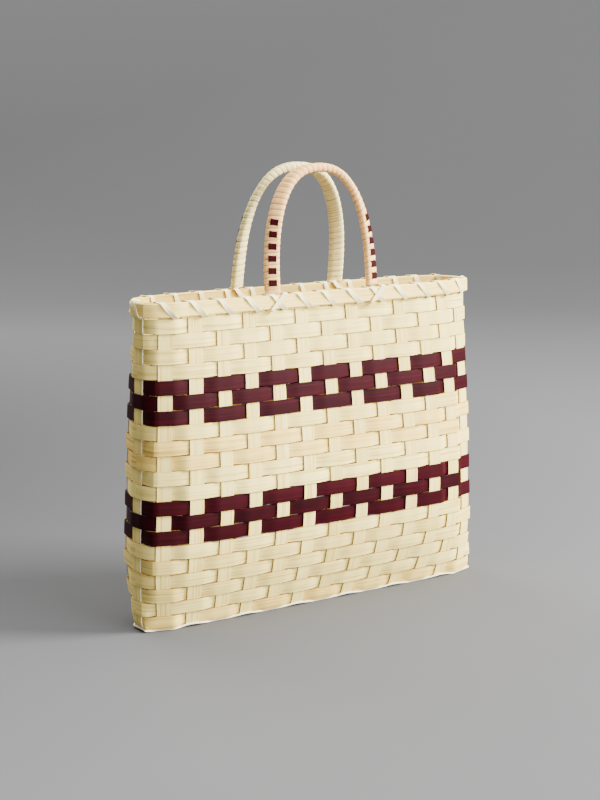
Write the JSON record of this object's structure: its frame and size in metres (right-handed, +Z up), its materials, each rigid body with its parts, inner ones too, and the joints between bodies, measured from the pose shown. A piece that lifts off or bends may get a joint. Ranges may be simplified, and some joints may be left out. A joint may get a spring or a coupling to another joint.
{
  "type": "plaited bamboo laptop case",
  "caption": "Stiff open-topped case plaited from flat bamboo splints, with two burgundy bands, a hooped rim and two fixed arched handles.",
  "frame": {"origin": "middle of the base, on the surface that the case stands on", "axes": "+Z up; -Y is the front face; +X to the right along the long side"},
  "size_m": [0.3898, 0.1004, 0.419],
  "materials": {
    "splint_cream": "bare split bamboo, fine lengthwise grain",
    "splint_burgundy": "dyed split bamboo, streaky satin",
    "splint_golden": "bare split bamboo, yellower",
    "rim_band": "smooth bamboo band",
    "handle_peach": "close binding of narrow splint, satin",
    "handle_pale": "close binding of narrow splint, satin"
  },
  "bodies": {
    "root": {"weaver_row_01": "splint_cream", "weaver_row_02": "splint_cream", "weaver_row_03": "splint_cream", "weaver_row_04": "splint_cream", "weaver_row_05": "splint_burgundy", "weaver_row_06": "splint_burgundy", "weaver_row_07": "splint_burgundy", "weaver_row_08": "splint_cream", "weaver_row_09": "splint_golden", "weaver_row_10": "splint_golden", "weaver_row_11": "splint_cream", "weaver_row_12": "splint_cream", "weaver_row_13": "splint_burgundy", "weaver_row_14": "splint_burgundy", "weaver_row_15": "splint_burgundy", "weaver_row_16": "splint_cream", "weaver_row_17": "splint_cream", "weaver_row_18": "splint_cream", "weaver_row_19": "splint_cream", "weaver_row_20": "splint_cream", "weaver_row_21": "splint_golden", "stake_01": "splint_cream", "stake_02": "splint_cream", "stake_03": "splint_cream", "stake_04": "splint_cream", "stake_05": "splint_cream", "stake_06": "splint_cream", "stake_07": "splint_cream", "stake_08": "splint_cream", "stake_09": "splint_cream", "stake_10": "splint_cream", "stake_11": "splint_cream", "stake_12": "splint_cream", "stake_13": "splint_cream", "end_stake": "splint_cream", "base_strip": "splint_cream", "outer_hoop": "rim_band", "inner_hoop_left_end": "rim_band", "inner_hoop_front": "rim_band", "inner_hoop_right_end": "rim_band", "inner_hoop_back": "rim_band", "handle_front": "handle_peach", "handle_back": "handle_pale"}
  },
  "joints": []
}
